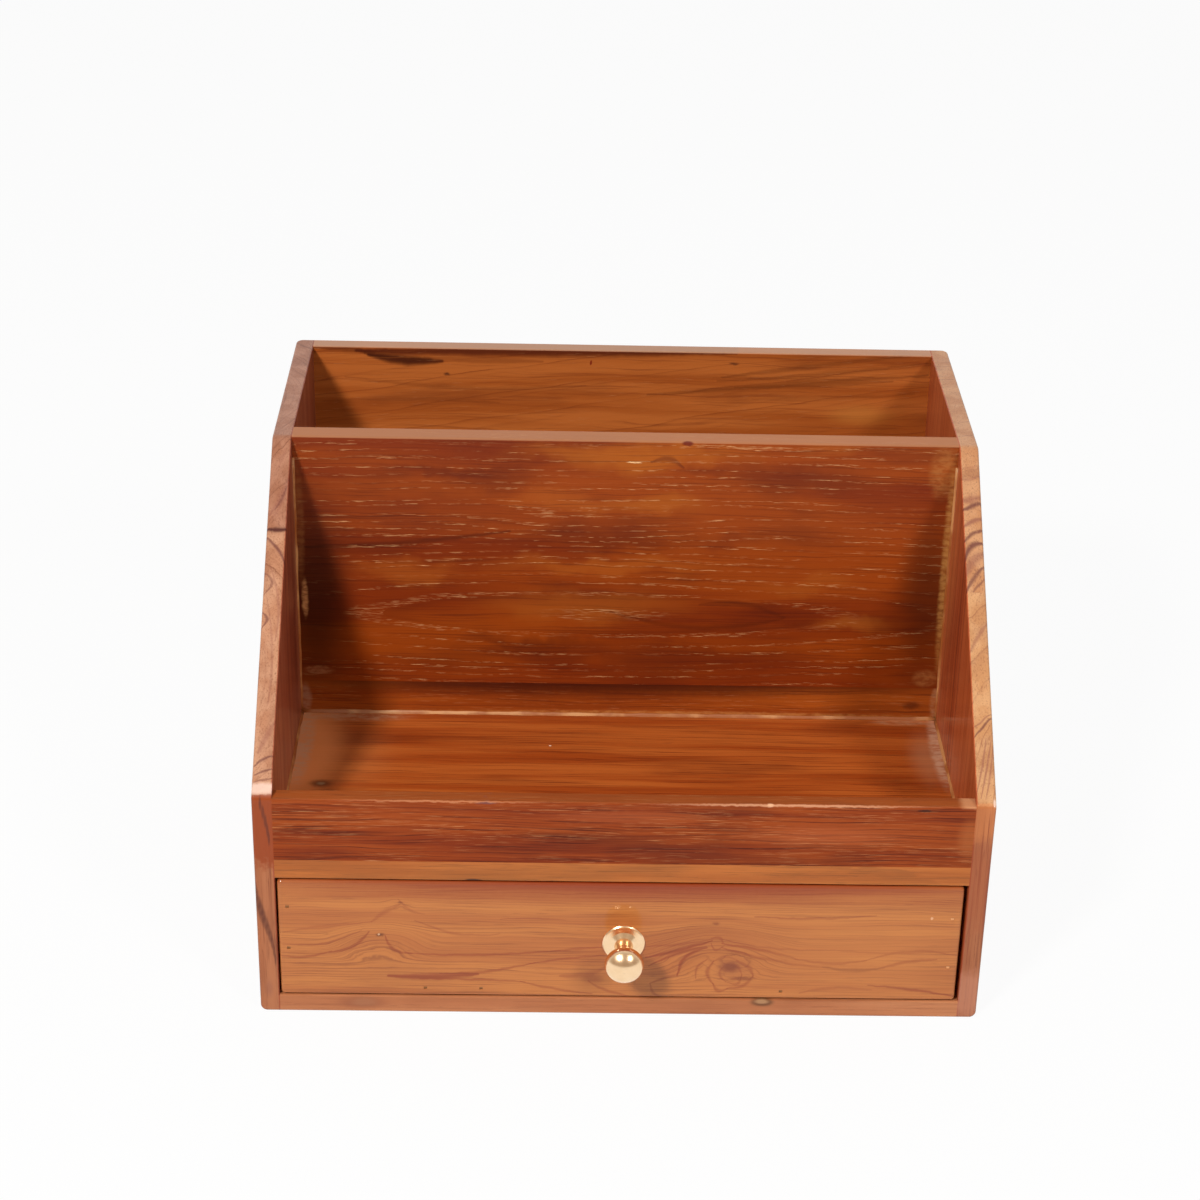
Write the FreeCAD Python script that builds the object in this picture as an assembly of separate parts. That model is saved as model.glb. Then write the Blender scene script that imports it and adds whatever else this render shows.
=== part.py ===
"""Envelope sorter with drawer: a desk organiser glued and nailed from teak boards.

The case has a deep rear pocket, a shallow front pocket between sloping sides, and a
drawer bay under both. The drawer is a nailed box on plain wooden bearings, pulled by
a turned brass knob. Each board, each group of nails and the knob is its own file.

Frame: millimetres, +Z up, +X to the right of someone who faces the drawer, and the
drawer opens towards -Y. The origin is the middle of the case's footprint on the desk.
"""
import FreeCAD, Part
import math
import os

# ---------------------------------------------------------------- driving dimensions

# Case, over all
case_width = 368.0
case_depth = 288.0
case_height = 255.0
front_height = 127.0            # the lip's top, where the slope of the sides begins

# Spaces between the boards
drawer_bay_height = 70.5
rear_pocket_depth = 114.0

# Board thicknesses of the case
side_thickness = 10.0
back_thickness = 10.0
bottom_thickness = 10.0
shelf_thickness = 11.0
divider_thickness = 13.0
lip_thickness = 9.0

# Widths of the boards that are edge-glued into one panel
left_front_board_width = 110.5
right_front_board_width = 88.0
back_lower_board_width = 118.0
divider_lower_board_width = 19.5
bottom_front_board_width = 150.0

# Sanded edges of the case
rear_corner_radius = 4.0
base_edge_radius = 3.5
slope_foot_radius = 4.0
slope_head_radius = 6.0
outer_edge_radius = 1.3
rim_radius = 0.8

# Drawer, and its play in the bay
drawer_gap_left = 0.9
drawer_gap_right = 2.0
drawer_gap_above = 1.0
drawer_gap_below = 0.3
drawer_gap_behind = 0.5
drawer_front_lift = 0.5         # the front hangs this far above the runners' lower edges
drawer_front_thickness = 10.0
drawer_side_thickness = 9.5
drawer_back_thickness = 9.0
drawer_bottom_thickness = 9.0
drawer_bottom_recess = 0.5      # underside of the bottom above the runners' lower edges
drawer_bottom_front_board_width = 134.0
drawer_front_corner_radius = 2.0
drawer_front_edge_radius = 1.4
drawer_rim_radius = 1.0

# Turned knob, with distances along its axis from the drawer's front
knob_off_centre = 1.7           # to the right of the drawer's middle
knob_drop = 1.1                 # below the drawer front's middle
knob_flange_radius = 10.8
knob_flange_thickness = 1.2
knob_flange_chamfer = 0.5
knob_dish_radius = 9.7          # where the flange's flat rim ends and its dish begins
knob_dish_turn_radius = 7.3     # where the dish turns steeper
knob_dish_turn_rise = 0.4
knob_dish_rise = 1.8
knob_neck_foot_radius = 4.8
knob_neck_radius = 4.0          # where the neck meets the ball
knob_ball_radius = 9.9
knob_ball_half_thickness = 7.2
knob_ball_rim_radius = 4.9
knob_ball_distance = 19.5

# Machine screw of the knob, M4 with a pan head
screw_radius = 2.0
screw_head_radius = 4.0
screw_head_height = 2.6
screw_head_chamfer = 0.6
screw_grip = 11.0               # length of thread inside the knob
screw_recess_width = 1.0
screw_recess_span = 4.4
screw_recess_depth = 1.4
screw_hole_clearance = 0.25
screw_thread_clearance = 0.03
screw_tip_room = 1.5

# Brads of flat steel wire, set below the wood's surface
nail_length = 25.0
nail_width = 1.6
nail_thickness = 1.4
nail_point_length = 2.0
nail_set_depth = 0.3
nail_clearance = 0.05

# Where the brads of the case go
base_nails = 4                  # along each side, into the bottom and into the shelf
upright_nails = 3               # up each side, into the divider and into the back
nail_end_margin = 32.0          # from a board's end to its first and last brad

# Where the brads of the drawer go, as distances from the ends of its front
front_nails_left_low = 28.7
front_nails_left_high = 15.7
front_nails_right_low = 20.8
front_nails_right_high = 19.0
front_nails_from_left = (73.6, 102.0)
front_nails_from_right = (89.7,)
drawer_side_nails = 3           # along each drawer side, into the bottom
drawer_back_nail_margin = 16.0

# ---------------------------------------------------------------- planes they set

Vec = FreeCAD.Vector
RIGHT = Vec(1, 0, 0)
BACK = Vec(0, 1, 0)
UP = Vec(0, 0, 1)
TOUCH = 1e-6                    # how near two planes have to be to count as one
OVERCUT = 1.0                   # how far a cutting tool stands out of what it cuts

outer_x = case_width / 2
inner_x = outer_x - side_thickness
front_y = -case_depth / 2
rear_y = case_depth / 2
back_y = rear_y - back_thickness
divider_rear_y = back_y - rear_pocket_depth
divider_front_y = divider_rear_y - divider_thickness
lip_rear_y = front_y + lip_thickness
bay_bottom_z = bottom_thickness
bay_top_z = bay_bottom_z + drawer_bay_height
shelf_top_z = bay_top_z + shelf_thickness

drawer_left_x = -inner_x + drawer_gap_left
drawer_right_x = inner_x - drawer_gap_right
drawer_low_z = bay_bottom_z + drawer_gap_below
drawer_top_z = bay_top_z - drawer_gap_above
drawer_face_low_z = drawer_low_z + drawer_front_lift
drawer_inner_y = front_y + drawer_front_thickness
drawer_rear_y = back_y - drawer_gap_behind
drawer_inner_left_x = drawer_left_x + drawer_side_thickness
drawer_inner_right_x = drawer_right_x - drawer_side_thickness
drawer_bottom_low_z = drawer_low_z + drawer_bottom_recess
drawer_bottom_top_z = drawer_bottom_low_z + drawer_bottom_thickness
knob_x = (drawer_left_x + drawer_right_x) / 2 + knob_off_centre
knob_z = (drawer_face_low_z + drawer_top_z) / 2 - knob_drop

# ---------------------------------------------------------------- small helpers


def block(low, high):
    """A board blank between two opposite corners."""
    size = high - low
    return Part.makeBox(size.x, size.y, size.z, low)


def edges_where(shape, **planes):
    """The edges of a shape that lie wholly in the given planes, such as x=10, z=0."""
    found = []
    for edge in shape.Edges:
        points = [vertex.Point for vertex in edge.Vertexes]
        if all(abs(getattr(p, axis) - place) < TOUCH for p in points for axis, place in planes.items()):
            found.append(edge)
    return found


def eased(shape, radius, *plane_sets):
    """The shape with the edges in each set of planes rounded."""
    edges = [edge for planes in plane_sets for edge in edges_where(shape, **planes)]
    return shape.makeFillet(radius, edges)


def easing_tool(start, end, into_a, into_b, radius):
    """What sandpaper takes off a square edge from start to end, whose two faces run
    from it along into_a and into_b."""
    corner = start
    on_a = corner + into_a * radius
    on_b = corner + into_b * radius
    centre = corner + (into_a + into_b) * radius
    middle = centre - (into_a + into_b).normalize() * radius
    outside = corner - (into_a + into_b) * radius
    profile = Part.Wire(
        [
            Part.LineSegment(outside, on_a - into_b * radius).toShape(),
            Part.LineSegment(on_a - into_b * radius, on_a).toShape(),
            Part.Arc(on_a, middle, on_b).toShape(),
            Part.LineSegment(on_b, on_b - into_a * radius).toShape(),
            Part.LineSegment(on_b - into_a * radius, outside).toShape(),
        ]
    )
    return Part.Face(profile).extrude(end - start)


def evenly(first, last, count):
    """Evenly spaced places from first to last."""
    step = (last - first) / (count - 1)
    return [first + step * i for i in range(count)]


def save(shape, node):
    """Writes one node's STEP file."""
    shape.exportStep(f"parts/{node}.step")


# ---------------------------------------------------------------- turned profiles


def axial(radius, depth):
    """A corner of a turned profile, before the profile is spun about its axis."""
    return Vec(radius, 0, depth)


def path_of(*corners):
    """Straight edges through (radius, depth) corners of a turned profile."""
    points = [axial(*corner) for corner in corners]
    return [Part.LineSegment(a, b).toShape() for a, b in zip(points, points[1:])]


def arc_about(radius, depth, size, first, last):
    """An arc of a turned profile about (radius, depth), from angle first to last: angle 0
    points away from the axis, a quarter turn along it."""
    middle = (first + last) / 2
    points = [axial(radius + size * math.cos(a), depth + size * math.sin(a)) for a in (first, middle, last)]
    return Part.Arc(*points).toShape()


def turned(corners, point, direction):
    """A solid of revolution from (radius, depth) corners, placed with depth 0 at point
    and depth growing along direction."""
    face = Part.Face(Part.Wire(path_of(*corners, corners[0])))
    solid = face.revolve(Vec(0, 0, 0), UP, 360)
    solid.Placement = FreeCAD.Placement(point, FreeCAD.Rotation(UP, direction))
    return solid


# ---------------------------------------------------------------- brads


def driven(solid, point, direction):
    """A brad or its hole, made pointing up at the origin, set in at a point of the wood."""
    solid.Placement = FreeCAD.Placement(point, FreeCAD.Rotation(UP, direction))
    return solid


def brad(point, direction):
    """One brad of flat wire with a chisel point, sunk at a point of the wood's surface."""
    half = nail_width / 2
    tip = nail_set_depth + nail_length
    shoulder = tip - nail_point_length
    corners = [(-half, nail_set_depth), (half, nail_set_depth), (half, shoulder), (0, tip), (-half, shoulder)]
    outline = [Vec(x, -nail_thickness / 2, z) for x, z in corners]
    face = Part.Face(Part.makePolygon(outline + outline[:1]))
    return driven(face.extrude(BACK * nail_thickness), point, direction)


def brad_hole(point, direction):
    """The hole that a brad fills, with a hair of room all round."""
    half_width = nail_width / 2 + nail_clearance
    half_thickness = nail_thickness / 2 + nail_clearance
    depth = nail_set_depth + nail_length + nail_clearance
    hole = block(Vec(-half_width, -half_thickness, -OVERCUT), Vec(half_width, half_thickness, depth))
    return driven(hole, point, direction)


def case_nail_places(side):
    """Surface points of the brads through one side: side is -1 for the left, 1 for the right."""
    x = side * outer_x
    places = []
    for y in evenly(front_y + nail_end_margin, back_y - nail_end_margin, base_nails):
        places.append(Vec(x, y, bottom_thickness / 2))
        places.append(Vec(x, y, bay_top_z + shelf_thickness / 2))
    divider_y = (divider_front_y + divider_rear_y) / 2
    for z in evenly(shelf_top_z + nail_end_margin, case_height - nail_end_margin, upright_nails):
        places.append(Vec(x, divider_y, z))
    for z in evenly(bottom_thickness + nail_end_margin, case_height - nail_end_margin, upright_nails):
        places.append(Vec(x, back_y + back_thickness / 2, z))
    places.append(Vec(x, front_y + lip_thickness / 2, (shelf_top_z + front_height) / 2))
    return places


def drawer_front_nail_places():
    """Brads through the drawer front: two into each drawer side, the rest into the bottom."""
    left_x = drawer_left_x + drawer_side_thickness / 2
    right_x = drawer_right_x - drawer_side_thickness / 2
    bottom_z = (drawer_bottom_low_z + drawer_bottom_top_z) / 2
    places = [
        Vec(left_x, front_y, drawer_low_z + front_nails_left_low),
        Vec(left_x, front_y, drawer_top_z - front_nails_left_high),
        Vec(right_x, front_y, drawer_low_z + front_nails_right_low),
        Vec(right_x, front_y, drawer_top_z - front_nails_right_high),
    ]
    places += [Vec(drawer_left_x + x, front_y, bottom_z) for x in front_nails_from_left]
    places += [Vec(drawer_right_x - x, front_y, bottom_z) for x in front_nails_from_right]
    return places


def drawer_side_nail_places(side):
    """Brads through one drawer side into the drawer bottom, then into the drawer back."""
    x = drawer_right_x if side > 0 else drawer_left_x
    bottom_z = (drawer_bottom_low_z + drawer_bottom_top_z) / 2
    first_y = drawer_inner_y + nail_end_margin
    last_y = drawer_rear_y - drawer_back_thickness - nail_end_margin
    bottom = [Vec(x, y, bottom_z) for y in evenly(first_y, last_y, drawer_side_nails)]
    back_mid_y = drawer_rear_y - drawer_back_thickness / 2
    back_low_z = drawer_bottom_top_z + drawer_back_nail_margin
    back_high_z = drawer_top_z - drawer_back_nail_margin
    back = [Vec(x, back_mid_y, z) for z in (back_low_z, back_high_z)]
    return bottom, back


def drilled(board, holes):
    """The board with the brad holes in it."""
    return board.cut(holes)


# ---------------------------------------------------------------- case


def case_envelope():
    """The outside of the finished case: every board is trimmed to it, as if the glued
    case had been sanded in one go. The sides slope from the lip up to the divider."""
    outline = Part.makePolygon(
        [
            Vec(-outer_x, front_y, 0),
            Vec(-outer_x, front_y, front_height),
            Vec(-outer_x, divider_front_y, case_height),
            Vec(-outer_x, rear_y, case_height),
            Vec(-outer_x, rear_y, 0),
            Vec(-outer_x, front_y, 0),
        ]
    )
    body = Part.Face(outline).extrude(RIGHT * case_width)
    body = eased(body, slope_head_radius, {"y": divider_front_y, "z": case_height})
    body = eased(body, slope_foot_radius, {"y": front_y, "z": front_height})
    corners = [{"x": x, "y": rear_y} for x in (-outer_x, outer_x)]
    body = eased(body, rear_corner_radius, *corners)
    base = [e for e in edges_where(body, z=0) if abs(e.BoundBox.Center.x) > inner_x]
    body = body.makeFillet(base_edge_radius, base)
    rest = [e for e in body.Edges if is_outer_arris(e)]
    return body.makeFillet(outer_edge_radius, rest)


def is_outer_arris(edge):
    """True for the edges still sharp round the outer faces of the sides, above the base."""
    box = edge.BoundBox
    on_face = abs(abs(box.XMin) - outer_x) < TOUCH and abs(abs(box.XMax) - outer_x) < TOUCH
    at_front = abs(box.YMax - front_y) < TOUCH
    above = box.ZMin > front_height - slope_foot_radius
    at_rear = box.YMin > rear_y - rear_corner_radius - TOUCH
    return on_face and (at_front or above) and not at_rear


def side_blank(side):
    """One side before it is trimmed and split: its inner rims eased where they are open."""
    x_out, x_in = side * outer_x, side * inner_x
    low = Vec(min(x_out, x_in), front_y, 0)
    high = Vec(max(x_out, x_in), rear_y, case_height)
    blank = block(low, high)
    outward = RIGHT * side
    slope = Vec(0, divider_front_y - front_y, case_height - front_height).normalize()
    into_slope = Vec(0, slope.z, -slope.y)
    lip_corner = Vec(x_in, front_y, front_height) + slope * (lip_thickness / slope.y)
    rims = [
        easing_tool(lip_corner, Vec(x_in, divider_front_y, case_height), outward, into_slope, rim_radius),
        easing_tool(
            Vec(x_in, divider_rear_y, case_height), Vec(x_in, back_y, case_height), outward, -UP, rim_radius
        ),
        easing_tool(Vec(x_in, front_y, bay_bottom_z), Vec(x_in, front_y, bay_top_z), outward, BACK, rim_radius),
    ]
    return blank.cut(rims)


def make_case(envelope):
    """All boards of the case, by node name, before the brad holes."""
    boards = {}
    for side, name, split in (
        (-1, "left_side", front_y + left_front_board_width),
        (1, "right_side", front_y + right_front_board_width),
    ):
        panel = side_blank(side).common(envelope)
        boards[f"{name}_front_board"], boards[f"{name}_rear_board"] = split_panel(panel, BACK, split)

    back = block(Vec(-inner_x, back_y, 0), Vec(inner_x, rear_y, case_height))
    back = eased(back, rim_radius, {"y": back_y, "z": case_height}).common(envelope)
    boards["back_lower_board"], boards["back_upper_board"] = split_panel(back, UP, back_lower_board_width)

    divider = block(Vec(-inner_x, divider_front_y, shelf_top_z), Vec(inner_x, divider_rear_y, case_height))
    divider = eased(divider, rim_radius, {"y": divider_rear_y, "z": case_height}).common(envelope)
    divider_seam_z = shelf_top_z + divider_lower_board_width
    boards["divider_lower_board"], boards["divider_upper_board"] = split_panel(divider, UP, divider_seam_z)

    shelf = block(Vec(-inner_x, front_y, bay_top_z), Vec(inner_x, back_y, shelf_top_z))
    shelf = eased(shelf, rim_radius, {"y": front_y, "z": bay_top_z})
    shelf_seam_y = (divider_front_y + divider_rear_y) / 2
    boards["shelf_front_board"], boards["shelf_rear_board"] = split_panel(shelf, BACK, shelf_seam_y)

    bottom = block(Vec(-inner_x, front_y, 0), Vec(inner_x, back_y, bottom_thickness))
    bottom = eased(bottom, rim_radius, {"y": front_y, "z": bottom_thickness}).common(envelope)
    bottom_seam_y = front_y + bottom_front_board_width
    boards["bottom_front_board"], boards["bottom_rear_board"] = split_panel(bottom, BACK, bottom_seam_y)

    lip = block(Vec(-inner_x, front_y, shelf_top_z), Vec(inner_x, lip_rear_y, front_height))
    lip = eased(lip, rim_radius, {"y": lip_rear_y, "z": front_height})
    boards["front_lip"] = lip.common(envelope)
    return boards


def split_panel(panel, across, place):
    """The two boards of a glued panel, lower place first: the seam is square to across."""
    reach = 2 * (case_width + case_depth + case_height)
    low = Vec(-reach, -reach, -reach)
    high = Vec(reach, reach, reach)
    seam_high = high - across * (reach - place)
    first = panel.common(block(low, seam_high))
    return first, panel.cut(block(low, seam_high))


# ---------------------------------------------------------------- drawer


def make_drawer():
    """The boards of the drawer, by node name, before the brad holes."""
    boards = {}
    front = block(Vec(drawer_left_x, front_y, drawer_face_low_z), Vec(drawer_right_x, drawer_inner_y, drawer_top_z))
    sides_x = (drawer_left_x, drawer_right_x)
    front = eased(
        front,
        drawer_front_corner_radius,
        *[{"x": x, "z": z} for x in sides_x for z in (drawer_face_low_z, drawer_top_z)],
    )
    boards["drawer_front"] = eased(front, drawer_front_edge_radius, {"y": front_y})

    for name, x_low in (("drawer_left_side", drawer_left_x), ("drawer_right_side", drawer_inner_right_x)):
        x_high = x_low + drawer_side_thickness
        side = block(Vec(x_low, drawer_inner_y, drawer_low_z), Vec(x_high, drawer_rear_y, drawer_top_z))
        top = [{"x": x, "z": drawer_top_z} for x in (x_low, x_high)]
        boards[name] = eased(side, drawer_rim_radius, *top)

    back = block(
        Vec(drawer_inner_left_x, drawer_rear_y - drawer_back_thickness, drawer_bottom_top_z),
        Vec(drawer_inner_right_x, drawer_rear_y, drawer_top_z),
    )
    back_faces = (drawer_rear_y - drawer_back_thickness, drawer_rear_y)
    boards["drawer_back"] = eased(back, drawer_rim_radius, *[{"y": y, "z": drawer_top_z} for y in back_faces])

    bottom = block(
        Vec(drawer_inner_left_x, drawer_inner_y, drawer_bottom_low_z),
        Vec(drawer_inner_right_x, drawer_rear_y, drawer_bottom_top_z),
    )
    seam_y = drawer_inner_y + drawer_bottom_front_board_width
    boards["drawer_bottom_front_board"], boards["drawer_bottom_rear_board"] = split_panel(bottom, BACK, seam_y)
    return boards


def make_knob():
    """The knob, turned from brass bar: a flange whose face is dished up in two cuts to the
    foot of a tapered neck, and a flattened ball with a tapered back. It is bored from
    behind for its screw."""
    chamfer = knob_flange_chamfer
    step = knob_flange_thickness
    bore = screw_radius + screw_thread_clearance
    bore_end = screw_grip + screw_tip_room

    # The ball's rim is an arc, which meets the flatter dome of its front smoothly.
    rim = knob_ball_rim_radius
    rim_centre = knob_ball_radius - rim
    half = knob_ball_half_thickness
    dome_radius = (rim_centre ** 2 + half ** 2 - rim ** 2) / (2 * (half - rim))
    dome_offset = dome_radius - half
    rim_angle = math.atan2(dome_offset, rim_centre)
    ball = knob_ball_distance
    back_rim = (rim_centre + rim * math.cos(rim_angle), ball - rim * math.sin(rim_angle))
    back_foot = (knob_neck_radius, ball + dome_offset - math.sqrt(dome_radius ** 2 - knob_neck_radius ** 2))

    profile = path_of(
        (0, ball + half),
        (0, bore_end),
        (bore, bore_end),
        (bore, 0),
        (knob_flange_radius, 0),
        (knob_flange_radius, step - chamfer),
        (knob_flange_radius - chamfer, step),
        (knob_dish_radius, step),
        (knob_dish_turn_radius, step + knob_dish_turn_rise),
        (knob_neck_foot_radius, step + knob_dish_rise),
        back_foot,
        back_rim,
    )
    profile += [arc_about(rim_centre, ball, rim, -rim_angle, rim_angle)]
    profile += [arc_about(0, ball - dome_offset, dome_radius, rim_angle, math.pi / 2)]
    knob = Part.Face(Part.Wire(profile)).revolve(Vec(0, 0, 0), UP, 360)
    knob.Placement = FreeCAD.Placement(Vec(knob_x, front_y, knob_z), FreeCAD.Rotation(UP, -BACK))
    return knob


def make_knob_screw():
    """The pan-head screw, in from the drawer's inside, with a cross recess in its head."""
    head_z = -drawer_front_thickness
    screw = turned(
        [
            (0, head_z - screw_head_height),
            (screw_head_radius - screw_head_chamfer, head_z - screw_head_height),
            (screw_head_radius, head_z - screw_head_height + screw_head_chamfer),
            (screw_head_radius, head_z),
            (screw_radius, head_z),
            (screw_radius, screw_grip),
            (0, screw_grip),
        ],
        Vec(knob_x, front_y, knob_z),
        -BACK,
    )
    top_y = drawer_inner_y + screw_head_height
    half_span, half_width = screw_recess_span / 2, screw_recess_width / 2
    for half_x, half_z in ((half_span, half_width), (half_width, half_span)):
        low = Vec(knob_x - half_x, top_y - screw_recess_depth, knob_z - half_z)
        high = Vec(knob_x + half_x, top_y + OVERCUT, knob_z + half_z)
        screw = screw.cut(block(low, high))
    return screw


def screw_hole():
    """The clearance hole for the knob's screw through the drawer front."""
    radius = screw_radius + screw_hole_clearance
    start = Vec(knob_x, front_y - OVERCUT, knob_z)
    return Part.makeCylinder(radius, drawer_front_thickness + 2 * OVERCUT, start, BACK)


# ---------------------------------------------------------------- assembly


def main():
    os.makedirs("parts", exist_ok=True)

    case = make_case(case_envelope())
    drawer = make_drawer()
    drawer["drawer_front"] = drawer["drawer_front"].cut(screw_hole())

    nails = {"drawer_front_nails": [(p, BACK) for p in drawer_front_nail_places()]}
    nails["drawer_bottom_nails"] = []
    nails["drawer_back_nails"] = []
    for side, name in ((-1, "left"), (1, "right")):
        inward = RIGHT * -side
        nails[f"{name}_side_nails"] = [(p, inward) for p in case_nail_places(side)]
        into_bottom, into_back = drawer_side_nail_places(side)
        nails["drawer_bottom_nails"] += [(p, inward) for p in into_bottom]
        nails["drawer_back_nails"] += [(p, inward) for p in into_back]

    for group, places in nails.items():
        boards = drawer if group.startswith("drawer") else case
        holes = [brad_hole(point, direction) for point, direction in places]
        for name, board in boards.items():
            near = [hole for hole in holes if hole.BoundBox.intersect(board.BoundBox)]
            if near:
                boards[name] = drilled(board, near)
        save(Part.makeCompound([brad(point, direction) for point, direction in places]), group)

    for name, board in {**case, **drawer}.items():
        save(board, name)
    save(make_knob(), "knob")
    save(make_knob_screw(), "knob_screw")


main()
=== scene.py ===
# %% [markdown]
# # A teak envelope sorter with a drawer
#
# The sorter is a small desk organiser made of varnished teak boards, glued and nailed.
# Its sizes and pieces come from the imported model, which is loaded first and is never
# moved. This file gives every board its own wood, the knob its polish and the corners
# their beads of glue, then sets the floor, the lamps and the camera.

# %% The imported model
import math
import random

import bmesh
import bpy
from mathutils import Matrix, Vector


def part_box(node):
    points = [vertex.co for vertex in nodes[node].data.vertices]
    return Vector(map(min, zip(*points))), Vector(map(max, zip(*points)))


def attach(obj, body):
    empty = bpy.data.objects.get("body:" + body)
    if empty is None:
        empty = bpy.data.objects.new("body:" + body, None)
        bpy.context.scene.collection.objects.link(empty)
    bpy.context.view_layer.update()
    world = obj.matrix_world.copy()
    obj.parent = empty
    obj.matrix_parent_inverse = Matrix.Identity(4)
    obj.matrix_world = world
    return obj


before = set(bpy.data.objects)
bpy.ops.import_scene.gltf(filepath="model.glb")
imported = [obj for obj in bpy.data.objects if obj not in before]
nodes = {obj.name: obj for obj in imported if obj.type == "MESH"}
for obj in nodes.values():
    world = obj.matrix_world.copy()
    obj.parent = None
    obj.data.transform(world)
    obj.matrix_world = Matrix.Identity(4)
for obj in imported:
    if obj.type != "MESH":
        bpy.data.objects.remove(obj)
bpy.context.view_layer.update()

# %% [markdown]
# ## Units and colours
#
# Blender counts in metres and a joiner in millimetres, so sizes here are written in
# millimetres and turned by one constant. Colours are written as a painter's hex codes.
# Blender mixes light in linear values, so one function turns the codes.

# %% Units and colours
MM = 0.001


def colour(code):
    """A hex colour such as "C47C50" as Blender's linear red, green, blue and alpha."""
    parts = [int(code[i:i + 2], 16) / 255 for i in (0, 2, 4)]
    linear = [p / 12.92 if p <= 0.04045 else ((p + 0.055) / 1.055) ** 2.4 for p in parts]
    return (*linear, 1.0)


print("plain teak in linear light:", [round(v, 3) for v in colour("C47C50")])

# %% [markdown]
# ## One way to add a node
#
# A material is a graph of nodes. They are all added by one small function: names in
# small letters are the node's own settings, other names are inputs that take a value,
# and links join an input to another node's socket, or to its first output.

# %% Adding a node


def add(tree, kind, settings={}, links={}):
    """Adds a shader node with its settings and its links, and returns it."""
    node = tree.nodes.new("ShaderNode" + kind)
    for name, value in settings.items():
        if isinstance(name, str) and name.islower():
            setattr(node, name, value)
        else:
            node.inputs[name].default_value = value
    for name, source in links.items():
        socket = source if isinstance(source, bpy.types.NodeSocket) else source.outputs[0]
        tree.links.new(socket, node.inputs[name])
    return node


def new_tree(name):
    """A new material with an empty node tree."""
    material = bpy.data.materials.new(name)
    material.use_nodes = True
    material.node_tree.nodes.clear()
    return material, material.node_tree


# %% [markdown]
# ## The camera
#
# The sorter is seen by someone who stands in front of the desk, a little to its left,
# and looks down into the pockets. A long lens keeps the sides nearly parallel. The
# camera is turned in three steps: down by the pitch, to the side by the yaw, and a
# touch about its own line of sight.

# %% Camera
camera_place = Vector((-32.7, -1277.7, 815.0)) * MM
camera_yaw = math.radians(1.65)
camera_pitch = math.radians(27.58)
camera_roll = math.radians(1.56)

camera_data = bpy.data.cameras.new("camera")
camera_data.lens = 80.57
camera_data.sensor_width = 36.0
camera_data.shift_x = -0.0248
camera_data.shift_y = 0.0260
camera = bpy.data.objects.new("camera", camera_data)
heading = Matrix.Rotation(-camera_yaw, 4, "Z")
tilt = Matrix.Rotation(math.pi / 2 - camera_pitch, 4, "X")
roll = Matrix.Rotation(camera_roll, 4, "Z")
camera.matrix_world = Matrix.Translation(camera_place) @ heading @ tilt @ roll
bpy.context.scene.collection.objects.link(camera)
bpy.context.scene.camera = camera
bpy.context.scene.view_settings.view_transform = "Standard"
print("camera at", [round(v, 3) for v in camera_place])

# %% [markdown]
# ## Floor and background
#
# The sorter stands on a white sweep in a plain studio. The floor is a real surface that
# takes shadows and sends light back up under the boards. For the camera it is mostly
# plain white, so the background stays even while a soft trace of shadow is kept.

# %% Floor
floor_half = 3.0
floor_tone = "E2E0DE"
floor_glow = 0.94              # how much of the floor is seen and mirrored as plain white

floor_mesh = bpy.data.meshes.new("floor")
shape = bmesh.new()
bmesh.ops.create_grid(shape, x_segments=1, y_segments=1, size=floor_half)
shape.to_mesh(floor_mesh)
shape.free()
floor = bpy.data.objects.new("floor", floor_mesh)
bpy.context.scene.collection.objects.link(floor)

paper, tree = new_tree("white_paper_sweep")
ray = add(tree, "LightPath")
place = add(tree, "TexCoord").outputs["Object"]
grain = add(tree, "TexNoise", {"Scale": 900.0, "Detail": 2.0}, {"Vector": place})
tooth = add(tree, "Bump", {"Strength": 0.05, "Distance": 0.1 * MM}, {"Height": grain})
matte = add(tree, "BsdfDiffuse", {"Color": colour(floor_tone)}, {"Normal": tooth})
glow = add(tree, "Emission", {"Color": (1, 1, 1, 1), "Strength": 1.0})
camera_ray, glossy_ray = ray.outputs["Is Camera Ray"], ray.outputs["Is Glossy Ray"]
shown = add(tree, "Math", {"operation": "MAXIMUM"}, {0: camera_ray, 1: glossy_ray})
share = add(tree, "Math", {"operation": "MULTIPLY", 1: floor_glow}, {0: shown})
mixed = add(tree, "MixShader", {}, {0: share, 1: matte, 2: glow})
add(tree, "OutputMaterial", {}, {"Surface": mixed})
floor.data.materials.append(paper)
print("floor half width:", floor_half, "m")

# %% [markdown]
# ## The lamps
#
# Two soft boxes stand high in front, one to each side, so each side board throws a soft
# shadow on the divider and on the back. The white sweep behind the sorter sends soft
# light to the back, the sides and the upper edges. The room in front is dim, so the
# shadows inside the pockets stay deep. Brass and varnish mirror the same room.

# %% World and lamps
sweep_light = 0.55             # what the white sweep behind the sorter sends
front_light = 0.02             # what comes from the dim side of the room
room_start, sweep_start = -0.50, 0.30    # where along y one fades into the other
mirrored_light = 0.9           # how bright brass and varnish mirror the room
room_white = "FFFFFF"
room_dark = "B4A292"

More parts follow.
